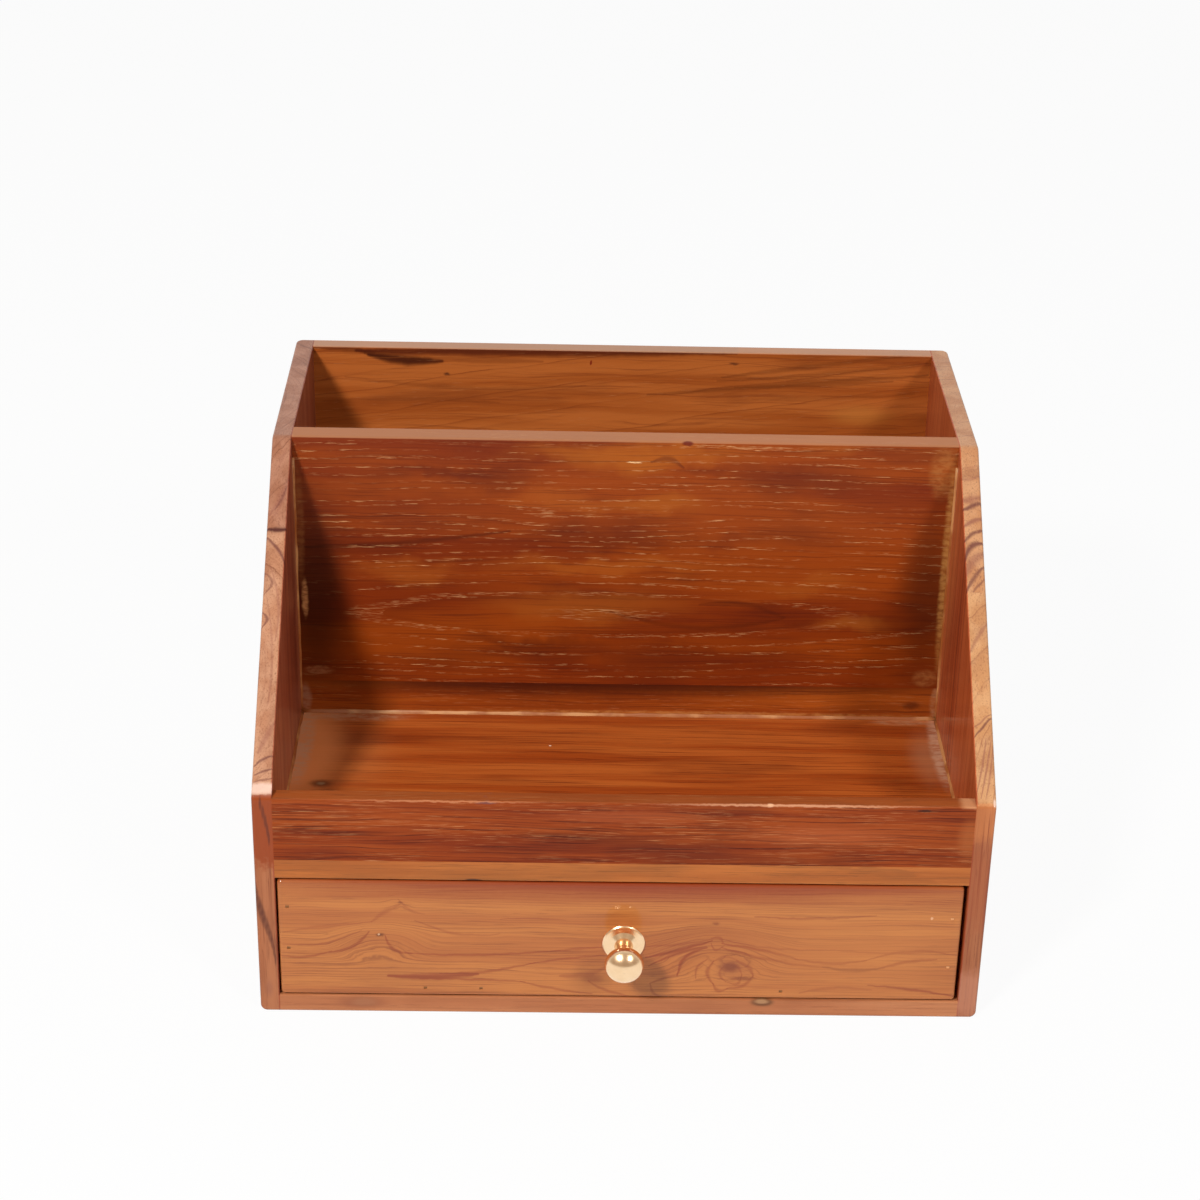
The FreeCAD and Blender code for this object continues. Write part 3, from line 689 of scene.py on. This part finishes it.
# %% Divider
boards["divider_upper_board"] = {
    "axes": "xzy",
    "seed": 11.0,
    "heart": (-10.0, 154.0, -6.0),
    "arch": 0.105,
    "ring": 4.3,
    "bend": 4.0,
    "shiver": 2.0,
    "taper": 0.0,
    "tones": ("933E08", "7A2B05", "3F0E05"),
    "contrast": 0.35,
    "band": 30.0,
    "smoke": 0.3,
    "fibre": 0.40,
    "pores": 0.8,
    "pore_rows": 0.32,
    "pore_length": 8.0,
    "pore_width": 0.17,
    "pore_strength": 0.85,
    "pore_tone": "E6B076",
    "coat": 0.06,
    "knots": (
        ((-10.0, 206.0, 125.0, 17.0), 0.0, 1.7, 0.0),
    ),
    "patches": (
        ((-90.0, 237.0, 60.0, 5.0), "5E1C04", 0.6),
        ((40.0, 236.0, 24.0, 4.0), "5E1C04", 0.4),
        ((5.0, 246.0, 90.0, 12.0), "B8661C", 0.5),
        ((107.0, 252.0, 26.0, 6.0), "A4561C", 0.4),
        ((-70.0, 232.0, 42.0, 13.0), "5C1C04", 0.45),
        ((90.0, 234.0, 56.0, 16.0), "561A06", 0.5),
        ((-34.0, 219.0, 44.0, 10.0), "B05C1C", 0.38),
        ((15.0, 218.0, 44.0, 9.0), "B4641C", 0.38),
        ((-116.0, 211.0, 40.0, 10.0), "64200A", 0.35),
        ((-10.0, 198.0, 52.0, 10.0), "601C04", 0.55),
        ((50.0, 197.0, 30.0, 9.0), "64220A", 0.4),
        ((-12.0, 183.0, 88.0, 8.0), "AC5A1A", 0.45),
        ((-116.0, 178.0, 44.0, 11.0), "B05C1C", 0.38),
        ((100.0, 173.0, 40.0, 8.0), "A85A1C", 0.3),
        ((-20.0, 158.0, 84.0, 15.0), "AC5C1C", 0.42),
        ((84.0, 153.0, 40.0, 12.0), "5C1C06", 0.5),
        ((126.0, 149.0, 34.0, 8.0), "AC6422", 0.35),
        ((30.0, 128.0, 150.0, 10.0), "5E1C06", 0.45),
        ((-50.0, 135.0, 60.0, 6.0), "501604", 0.5),
    ),
    "lines": (
        ((-173.8, 191.3), (-118.7, 194.6), (-60.5, 202.6), 1.8, "4A1602", 0.6),
        ((-6.6, 155.2), (42.2, 146.3), (86.8, 152.5), 1.8, "4A1602", 0.4),
        ((87.8, 153.1), (74.0, 158.9), (41.7, 160.2), 1.8, "4A1602", 0.35),
        ((13.5, 243.7), (19.2, 245.5), (29.9, 240.6), 2.0, "52180A", 0.5),
    ),
    "marks": (
        ((32.0, 254.4, 4.0, 1.8, 7.0, 3.0), "6A1E10", 0.9, 0.6),
        # Dark soft patches at both ends of the divider, where the side boards' shadows fall: painted
        # shadow.
        ((-165.0, 160.0, 30.0, 90.0), "240902", 0.72, 0.95),
        ((164.0, 165.0, 24.0, 76.0), "300E04", 0.55, 0.95),
    ),
    "faces": ((1, 254.3, 254.9, "C08258", 0.7, "MIX"),),
    "smears": (
        ((-170.0, 161.0, 2.4, 15.0), "D09058", 0.8),
        ((-164.0, 117.5, 11.0, 3.4), "A86C44", 0.6),
        ((-172.0, 205.0, 4.0, 45.0), "A06434", 0.4),
        ((172.5, 184.0, 4.0, 80.0), "C08A48", 0.7),
        ((166.0, 117.0, 9.0, 7.0), "A86A38", 0.55),
        ((167.0, 240.0, 10.0, 20.0), "B4743A", 0.5),
        ((4.4, 243.2, 5.4, 0.5), "F0C890", 1.0),
    ),
}
boards["divider_lower_board"] = {
    "axes": "xzy",
    "seed": 13.0,
    "heart": (0.0, 220.0, 120.0),
    "ring": 2.0,
    "tones": ("A85115", "89390A", "4A1505"),
    "smoke": 0.3,
    "fibre": 0.6,
    "pores": 0.7,
    "pore_rows": 0.8,
    "pore_width": 0.4,
    "pore_strength": 0.4,
    "pore_tone": "C07848",
    "coat": 0.12,
    "marks": (
        ((-20.0, 112.0, 300.0, 13.0), "3E0E02", 0.9, 0.9),
        ((160.0, 100.0, 8.0, 4.0), "4A1A08", 0.6, 0.9),
    ),
    "smears": (
        ((-172.0, 100.0, 5.0, 12.0), "A87456", 0.7),
        ((40.0, 92.5, 190.0, 3.0), "C07C40", 0.6),
        ((173.0, 102.0, 4.0, 14.0), "B08058", 0.6),
    ),
}

# %% Shelf, bottom and back
boards["shelf_front_board"] = {
    "axes": "xyz",
    "seed": 17.0,
    "heart": (0.0, -330.0, 60.0),
    "tones": ("B75C22", "9E4311", "5D1B05"),
    "contrast": 0.65,
    "faint": 0.2,
    "smoke": 0.4,
    "fibre": 0.7,
    "pores": 0.6,
    "pore_rows": 0.8,
    "pore_strength": 0.35,
    "pore_tone": "5E240C",
    "faces": ((1, -142.6, -143.4, "B07A34", 0.28, "MIX"),),
    "marks": (
        # Pale patches over the shelf's left end, strongest inside the left side board's shadow: painted
        # light that lifts the shadow.
        ((-146.0, -40.0, 36.0, 60.0), "C8824E", 0.2, 0.95),
        ((-172.0, -36.0, 34.0, 72.0), "EC9254", 0.85, 0.7),
        ((165.0, -35.0, 16.0, 42.0), "B8805A", 0.45, 0.95),
        ((-157.0, -69.5, 9.0, 6.0), "42200E", 0.75, 0.9),
        ((-157.0, -69.5, 3.4, 2.4), "A07C58", 0.8, 0.9),
        ((-37.8, -27.4, 0.8, 0.8), "F4E0C8", 0.9, 0.5),
        ((-75.0, -144.0, 6.0, 3.0, 80.6, 1.6), "3A180A", 0.9, 0.6),
        ((-35.5, -144.0, 1.6, 3.0, 80.4, 0.8), "3A180A", 0.9, 0.6),
    ),
    "smears": (
        ((-171.0, -30.0, 9.0, 56.0), "C89C7C", 0.6),
        ((-145.0, 2.0, 40.0, 7.0), "C4926C", 0.6),
        ((172.0, -28.0, 7.0, 52.0), "D0A888", 0.65),
        ((155.0, 3.0, 22.0, 5.0), "C0906A", 0.5),
    ),
}
boards["bottom_front_board"] = {
    "axes": "xyz",
    "seed": 43.0,
    "heart": (0.0, -60.0, -90.0),
    "ring": 2.2,
    "tones": ("BB784D", "AD6940", "783C20"),
    "contrast": 0.65,
    "marks": (
        ((73.2, -144.0, 8.0, 6.0, 8.4, 3.4), "643E22", 0.85, 0.6),
        ((72.8, -144.0, 5.2, 3.0, 8.8, 1.9), "B0825A", 0.85, 0.7),
        ((-132.0, -144.0, 19.0, 6.0, 6.0, 6.0), "8A4C30", 0.6, 0.8),
        ((-131.0, -144.0, 10.0, 6.0, 6.0, 4.0), "A87450", 0.35, 0.8),
    ),
}
boards["back_upper_board"] = {
    "axes": "xzy",
    "seed": 23.0,
    "heart": (0.0, 150.0, 190.0),
    "ring": 3.0,
    "bend": 7.0,
    "taper": -0.13,
    "tones": ("B66229", "A2501C", "6A290D"),
    "contrast": 0.7,
    "smoke": 0.4,
    "fibre": 0.40,
    "pores": 0.6,
    "pore_width": 0.35,
    "pore_strength": 0.28,
    "pore_tone": "CC8A58",
    "lines": (
        ((-150.0, 252.6), (-66.0, 253.4), (64.0, 255.2), 3.4, "521C0A", 0.9),
        ((-143.0, 250.4), (-126.0, 247.8), (-102.0, 247.2), 3.2, "3E1406", 0.9),
        ((56.2, 240.2), (102.9, 247.1), (161.8, 255.1), 1.8, "5A260A", 0.4),
        ((14.4, 228.5), (78.8, 235.0), (172.6, 243.1), 2.0, "5A260A", 0.43),
        ((53.8, 237.8), (103.2, 241.9), (172.1, 250.5), 1.5, "5A260A", 0.34),
        ((63.9, 234.0), (116.0, 236.2), (153.0, 239.5), 1.5, "5A260A", 0.31),
        ((-144.9, 251.5), (-128.9, 248.4), (-108.0, 247.6), 3.3, "3C1406", 0.59),
        ((-173.0, 254.5), (-155.8, 253.7), (-140.0, 251.6), 2.2, "4A1A08", 0.53),
        ((-111.7, 249.4), (-82.2, 248.1), (-45.3, 248.0), 2.0, "5A200A", 0.37),
        ((-156.3, 236.7), (-94.6, 231.2), (-20.6, 233.8), 1.5, "6A2E0E", 0.31),
        ((-169.0, 221.8), (-119.6, 224.0), (-69.9, 222.3), 1.5, "6A2E0E", 0.25),
        ((73.8, 227.4), (128.4, 229.0), (165.8, 232.0), 1.5, "6A2E0E", 0.25),
    ),
    "faces": ((1, 254.3, 254.9, "C08C68", 0.8, "MIX"),),
    "marks": (
        ((-99.1, 239.5, 3.0, 1.4), "3E1C12", 0.8, 0.9),
        ((62.7, 248.4, 4.0, 1.4), "3E1C12", 0.7, 0.9),
        ((-18.0, 247.6, 0.9, 2.0), "7A1C0C", 0.9, 0.6),
        ((136.0, 218.0, 30.0, 10.0), "C07A34", 0.4, 0.95),
        ((88.0, 240.0, 84.0, 1.2), "5E260C", 0.3, 0.9),
    ),
}

# %% Sides
# The insides of the side boards are multiplied darker and redder: painted shade of the pockets.
left_inside_painted_shade = (2, -174.9, -174.2, "E8B8AC", 1.0, "MULTIPLY")
right_inside_painted_shade = (2, 174.9, 174.2, "EAA488", 1.0, "MULTIPLY")
left_seam = ((-33.3, -185.0), (-33.7, -179.0), (-33.2, -173.0), 1.3, "4E2018", 1.0)
left_streak = (  # a dark streak down the left front edge: height, place across, half width
    (124.0, -179.6, 1.0),
    (119.0, -178.4, 1.2),
    (114.0, -177.4, 1.2),
    (109.0, -176.6, 1.0),
    (104.0, -176.0, 0.9),
    (76.0, -184.2, 1.4),
    (71.0, -183.6, 1.7),
    (66.0, -182.7, 2.4),
    (62.0, -181.8, 2.6),
    (58.0, -180.8, 2.6),
    (54.0, -179.7, 2.5),
    (50.0, -178.5, 1.9),
    (46.0, -177.4, 1.6),
    (42.0, -176.6, 1.2),
    (37.0, -175.9, 1.0),
    (32.0, -175.4, 0.8),
)
boards["left_side_front_board"] = {
    "axes": "zyx",
    "seed": 29.0,
    "heart": (0.0, -92.0, -215.0),
    "ring": 4.0,
    "shiver": 2.5,
    "tones": ("C48E6C", "B67C5A", "703820"),
    "contrast": 0.8,
    "faint": 0.2,
    "smoke": 0.3,
    "fibre": 0.45,
    "line_plane": (1, 2),
    "lines": (
        left_seam,
        ((-36.6, -184.6), (-40.4, -179.3), (-49.3, -173.1), 0.9, "6E3C34", 0.8),
        ((-51.9, -184.0), (-56.1, -179.7), (-60.8, -183.4), 1.0, "6E3C34", 0.6),
        ((-48.9, -181.2), (-59.8, -176.9), (-80.7, -176.5), 0.8, "8E5444", 0.4),
        ((-62.4, -181.8), (-84.0, -177.7), (-106.1, -178.2), 0.8, "8E5444", 0.35),
        ((-67.9, -184.4), (-71.2, -181.1), (-75.0, -183.9), 1.0, "6E3C34", 0.75),
        ((-125.5, -181.7), (-119.0, -177.8), (-113.3, -174.2), 1.8, "8E5444", 0.5),
        ((-131.1, -183.3), (-128.5, -179.1), (-127.0, -174.2), 0.7, "6E3C34", 0.8),
        ((-134.7, -183.0), (-133.4, -178.7), (-132.2, -173.9), 0.6, "6E3C34", 0.75),
        ((-137.8, -182.8), (-136.8, -178.5), (-135.8, -173.6), 0.5, "6E3C34", 0.6),
    ),
    "faces": (
        left_inside_painted_shade,
        (1, -143.0, -143.8, "E7C9AE", 1.0, "MULTIPLY"),
    ),
    "marks": (
        ((132.0, -147.0, 62.0, 5.0), "8E3A0C", 0.95, 0.15),
        # A pale spot on the rounded corner where the front edge meets the slope: painted highlight.
        ((131.5, -140.5, 6.0, 4.0), "F6D4C2", 0.6, 0.7),
        *[((z, -145.0, 6.0, 6.0, x, half), "4E2014", 0.6, 0.7) for z, x, half in left_streak],
        ((14.0, -145.0, 9.0, 6.0, -179.0, 3.0), "8A5240", 0.4, 0.9),
    ),
}
boards["left_side_rear_board"] = {
    "axes": "zyx",
    "seed": 31.0,
    "heart": (0.0, 60.0, -240.0),
    "ring": 3.2,
    "shiver": 2.5,
    "tones": ("B0795D", "A1684B", "62301E"),
    "contrast": 0.8,
    "faint": 0.2,
    "smoke": 0.3,
    "fibre": 0.45,
    "line_plane": (1, 2),
    "lines": (
        ((-27.2, -182.7), (-20.7, -178.1), (-11.1, -174.1), 1.8, "8E5444", 0.45),
        ((-25.0, -180.3), (-20.7, -177.5), (-15.0, -174.9), 0.8, "6E3C34", 0.55),
        ((-30.2, -183.5), (-26.7, -179.7), (-19.4, -176.1), 0.5, "8E5444", 0.4),
        left_seam,
        ((-7.7, -181.0), (-4.2, -178.7), (2.0, -176.5), 0.8, "8E5444", 0.25),
    ),
    "faces": (left_inside_painted_shade,),
}
boards["right_side_front_board"] = {
    "axes": "zyx",
    "seed": 37.0,
    "heart": (0.0, -150.0, 235.0),
    "ring": 3.2,
    "shiver": 2.5,
    "tones": ("D29C6C", "C48A5A", "824632"),
    "contrast": 0.8,
    "faint": 0.1,
    "fibre": 0.45,
    "line_plane": (1, 2),
    "lines": (
        ((-80.9, 174.3), (-74.6, 178.7), (-68.2, 184.2), 1.3, "8E5444", 0.5),
        ((-116.1, 174.2), (-111.6, 179.0), (-107.5, 184.3), 0.6, "6E3C34", 0.8),
        ((-112.1, 174.0), (-108.8, 179.7), (-105.9, 183.9), 0.5, "8E5444", 0.6),
        ((-139.8, 173.8), (-131.0, 176.7), (-116.1, 180.3), 0.6, "8E5444", 0.6),
        ((-140.6, 176.3), (-129.0, 179.7), (-117.3, 182.7), 0.6, "8E5444", 0.6),
        ((-141.0, 178.7), (-131.0, 181.4), (-118.9, 183.6), 0.6, "8E5444", 0.5),
    ),
    "faces": (
        right_inside_painted_shade,
        (1, -143.0, -143.8, "C6A296", 1.0, "MULTIPLY"),
    ),
    "marks": (
        ((134.0, -147.0, 40.0, 5.0), "CC7A42", 0.5, 0.2),
        # A pale spot on the rounded corner where the front edge meets the slope: painted highlight.
        ((128.5, -142.5, 3.0, 3.0, 183.2, 1.3), "F6DCCC", 0.6, 0.8),
        ((74.0, -145.0, 44.0, 6.0, 183.2, 1.5), "7A3C2C", 0.6, 0.8),
        ((92.0, -145.0, 40.0, 6.0, 178.6, 0.7), "7A361C", 0.7, 0.8),
        ((112.0, -145.0, 18.0, 6.0, 181.0, 0.5), "7A361C", 0.7, 0.8),
        ((60.0, -145.0, 50.0, 6.0, 176.4, 0.7), "84402A", 0.6, 0.8),
        ((80.0, -147.0, 46.0, 5.0), "9A4A26", 0.45, 0.4),
        ((14.0, -147.0, 26.0, 5.0), "C48468", 0.5, 0.4),
    ),
}
boards["right_side_rear_board"] = {
    "axes": "zyx",
    "seed": 41.0,
    "heart": (0.0, -110.0, 204.0),
    "ring": 6.5,
    "shiver": 2.5,
    "tones": ("CC9468", "BE8256", "6C3C34"),
    "contrast": 0.4,
    "faint": 0.1,
    "smoke": 0.2,
    "fibre": 0.45,
    "line_plane": (1, 2),
    "lines": (
        ((-16.2, 173.4), (-16.1, 179.1), (-15.2, 184.9), 2.0, "8E5444", 0.6),
        ((-21.0, 173.1), (-19.2, 177.9), (-17.8, 185.3), 1.2, "6E3C34", 0.85),
        ((-28.3, 173.8), (-25.7, 178.1), (-24.3, 184.9), 1.2, "8E5444", 0.75),
        ((-33.9, 174.0), (-30.9, 178.8), (-29.1, 184.6), 1.1, "6E3C34", 0.8),
        ((-42.5, 174.0), (-37.3, 176.3), (-35.1, 184.7), 1.7, "6E3C34", 0.9),
        ((-48.0, 174.2), (-43.3, 177.5), (-39.0, 184.5), 2.8, "8E5444", 0.6),
        ((-55.7, 173.7), (-49.7, 178.2), (-44.9, 184.1), 1.2, "6E3C34", 0.75),
        ((-56.5, 176.8), (-53.1, 180.0), (-50.1, 183.8), 0.7, "6E3C34", 0.6),
        ((-2.2, 173.2), (-2.1, 178.4), (-0.7, 184.7), 0.8, "8E5444", 0.3),
        ((-7.5, 172.9), (-7.4, 178.1), (-5.6, 184.5), 0.8, "8E5444", 0.35),
    ),
    "faces": (right_inside_painted_shade,),
}

# %% Drawer box
drawer_box_tones = ("BC7A48", "AC6838", "74401E")
boards["drawer_left_side"] = {
    "axes": "yzx",
    "seed": 47.0,
    "heart": (0.0, 60.0, -260.0),
    "tones": drawer_box_tones,
}
boards["drawer_back"] = {
    "axes": "xzy",
    "seed": 53.0,
    "heart": (0.0, 20.0, 220.0),
    "tones": drawer_box_tones,
}
boards["drawer_bottom_front_board"] = {
    "axes": "xyz",
    "seed": 59.0,
    "heart": (40.0, -90.0, 34.0),
    "arch": 0.12,
    "ring": 3.2,
    "tones": ("C08450", "B0703C", "7C4622"),
}

# %% Boards that follow another
followers = {
    "back_lower_board": ("back_upper_board", {"seed": 61.0, "heart": (0.0, 20.0, 230.0)}),
    "shelf_rear_board": ("shelf_front_board", {"seed": 67.0, "heart": (0.0, 60.0, 20.0)}),
    "bottom_rear_board": ("bottom_front_board", {"seed": 71.0, "heart": (0.0, 110.0, -120.0)}),
    "drawer_right_side": ("drawer_left_side", {"seed": 73.0, "heart": (0.0, 10.0, 260.0)}),
    "drawer_bottom_rear_board": (
        "drawer_bottom_front_board",
        {"seed": 79.0, "heart": (-60.0, 70.0, 40.0)},
    ),
}
plain_figure = {key: () for key in ("knots", "patches", "lines", "marks", "smears")}
for name, (leader, changes) in followers.items():
    boards[name] = {**boards[leader], **plain_figure, **changes}

for name, settings in boards.items():
    nodes[name].material_slots[0].material = teak("varnished_teak_" + name, {**plain, **settings})
print("boards dressed:", len(boards))

# %% [markdown]
# ## Brass and steel
#
# The knob is polished brass. It mirrors the white floor below and the lamps above, so
# its colour comes almost wholly from what is round it. Polishing leaves very fine
# rings round its axis, which only soften the mirror a little. The brads and the screw
# are plain steel wire, dulled by a thin dark scale. Pale putty covers those at the drawer
# front's right end.

# %% Metals
putty_from = 150.0 * MM        # the brads farther right than this are puttied over
wire_bright, wire_scale = "A87850", "6E4628"
knob_low, knob_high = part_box("knob")
knob_axis = (knob_low + knob_high) / 2

brass, tree = new_tree("polished_brass")
centred = add(
    tree,
    "Mapping",
    {"Location": (-knob_axis.x, 0.0, -knob_axis.z)},
    {"Vector": add(tree, "TexCoord").outputs["Object"]},
)
turning = add(
    tree,
    "TexWave",
    {"wave_type": "RINGS", "rings_direction": "Y", "Scale": 900.0, "Distortion": 1.0, "Detail": 1.0},
    {"Vector": centred},
)
smudge = add(tree, "TexNoise", {"Scale": 260.0, "Detail": 3.0}, {"Vector": centred})
gold = add(tree, "MixRGB", {1: colour("FFDFB8"), 2: colour("F6D0A2")}, {0: smudge})
dull = add(tree, "MapRange", {"To Min": 0.16, "To Max": 0.28}, {"Value": smudge})
lathe = add(tree, "Bump", {"Strength": 0.04, "Distance": 0.02 * MM}, {"Height": turning})
metal = add(
    tree,
    "BsdfPrincipled",
    {"Metallic": 1.0},
    {"Base Color": gold, "Roughness": dull, "Normal": lathe},
)
add(tree, "OutputMaterial", {}, {"Surface": metal})
nodes["knob"].material_slots[0].material = brass


def scaled_steel(name, bright, scale, putty=None):
    """Drawn steel wire with patches of dark scale, and maybe putty over the ends far right."""
    material, tree = new_tree(name)
    place = add(tree, "TexCoord").outputs["Object"]
    patch = add(tree, "TexNoise", {"Scale": 1400.0, "Detail": 4.0}, {"Vector": place})
    tone = add(tree, "MixRGB", {1: colour(bright), 2: colour(scale)}, {0: patch})
    if putty:
        across = add(tree, "SeparateXYZ", {}, {0: place}).outputs["X"]
        covered = fade(tree, across, putty_from, putty_from + 1.0 * MM, 0.0, 1.0)
        tone = blended(tree, covered, tone, putty)
    rough = add(tree, "MapRange", {"To Min": 0.3, "To Max": 0.6}, {"Value": patch})
    dent = add(tree, "Bump", {"Strength": 0.2, "Distance": 0.05 * MM}, {"Height": patch})
    steel = add(
        tree,
        "BsdfPrincipled",
        {"Metallic": 1.0},
        {"Base Color": tone, "Roughness": rough, "Normal": dent},
    )
    add(tree, "OutputMaterial", {}, {"Surface": steel})
    return material


brad_steel = scaled_steel("drawn_steel_wire", wire_bright, wire_scale)
for name in nodes:
    if name.endswith("_nails"):
        nodes[name].material_slots[0].material = brad_steel
nodes["drawer_front_nails"].material_slots[0].material = scaled_steel(
    "puttied_steel_wire", wire_bright, wire_scale, "E8AC78"
)
nodes["knob_screw"].material_slots[0].material = scaled_steel("zinc_plated_steel", "B8B8B4", "8C8C86")
print("metals done")

# %% [markdown]
# ## Beads of glue in the corners
#
# Where the boards meet inside the front pocket, glue mixed with sanding dust was wiped
# into the corners and varnished over. Each bead is a thin hollow fillet of uneven
# width. It starts as one small face in the corner, which is extruded along it in steps
# and made wider or narrower at each step, so no two stretches are alike.

# %% Bead helper
bead_sink = 0.05 * MM          # how far a bead's back is sunk in the boards
bead_step = 6.0 * MM
random.seed(5)


def bead(name, start, end, side_a, side_b, width, material):
    """A hollow fillet in the corner from start to end, between faces along side_a and side_b."""
    run = end - start
    count = max(2, round(run.length / bead_step))
    corner = start - (side_a + side_b) * bead_sink
    outline = [Vector((0.0, 0.0)), Vector((1.0, 0.0))]
    for turn in (0.25, 0.5, 0.75):
        angle = math.pi / 2 * turn
        outline.append(Vector((1 - 0.86 * math.sin(angle), 1 - 0.86 * math.cos(angle))))
    outline.append(Vector((0.0, 1.0)))
    shape = bmesh.new()
    size = width
    first = [shape.verts.new(corner + (side_a * p.x + side_b * p.y) * size) for p in outline]
    face = shape.faces.new(first)
    for step in range(count):
        grown = bmesh.ops.extrude_face_region(shape, geom=[face])
        verts = [v for v in grown["geom"] if isinstance(v, bmesh.types.BMVert)]
        if step:
            bmesh.ops.delete(shape, geom=[face], context="FACES_ONLY")
        bmesh.ops.translate(shape, verts=verts, vec=run / count)
        face = next(f for f in grown["geom"] if isinstance(f, bmesh.types.BMFace))
        centre = corner + run * ((step + 1) / count)
        new_size = width * random.uniform(0.75, 1.15)
        for vert in verts:
            vert.co = centre + (vert.co - centre) * (new_size / size)
        size = new_size
    bmesh.ops.recalc_face_normals(shape, faces=shape.faces)
    mesh = bpy.data.meshes.new(name)
    shape.to_mesh(mesh)
    shape.free()
    mesh.shade_smooth()
    mesh.materials.append(material)
    piece = bpy.data.objects.new(name, mesh)
    bpy.context.scene.collection.objects.link(piece)
    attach(piece, "case")
    print(name, "faces:", len(mesh.polygons))
    return piece


# %% Bead material
glue, tree = new_tree("varnished_glue_and_dust")
place = add(tree, "TexCoord").outputs["Object"]
cloud = add(tree, "TexNoise", {"Scale": 50.0, "Detail": 4.0}, {"Vector": place})
spots = fade(tree, cloud, 0.38, 0.66, 0.0, 1.0)
amber = add(tree, "MixRGB", {1: colour("9A5424"), 2: colour("C68A54")}, {0: spots})
lumps = add(tree, "Bump", {"Strength": 0.15, "Distance": 0.3 * MM}, {"Height": cloud})
paste = add(
    tree,
    "BsdfPrincipled",
    {"Roughness": 0.35, "Coat Weight": 0.5, "Coat Roughness": 0.15},
    {"Base Color": amber, "Normal": lumps},
)
add(tree, "OutputMaterial", {}, {"Surface": paste})

# %% Beads
divider_low, divider_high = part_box("divider_lower_board")
left_x, right_x = divider_low.x, divider_high.x
pocket_front_y, pocket_rear_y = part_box("front_lip")[1].y, divider_low.y
shelf_z = divider_low.z
divider_top_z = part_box("divider_upper_board")[1].z
to_right, to_front, to_top = Vector((1, 0, 0)), Vector((0, -1, 0)), Vector((0, 0, 1))
bead_stop = 12 * MM            # how far under the divider's top its beads end
rear_width, side_width, upright_width = 1.7 * MM, 1.4 * MM, 1.2 * MM

bead(
    "glue_under_divider",
    Vector((left_x, pocket_rear_y, shelf_z)),
    Vector((right_x, pocket_rear_y, shelf_z)),
    to_front, to_top, rear_width, glue,
)
for name, x, inward in (("left", left_x, to_right), ("right", right_x, -to_right)):
    bead(
        f"glue_{name}_of_pocket",
        Vector((x, pocket_front_y, shelf_z)),
        Vector((x, pocket_rear_y, shelf_z)),
        inward, to_top, side_width, glue,
    )
    bead(
        f"glue_{name}_of_divider",
        Vector((x, pocket_rear_y, shelf_z)),
        Vector((x, pocket_rear_y, divider_top_z - bead_stop)),
        inward, to_front, upright_width, glue,
    )
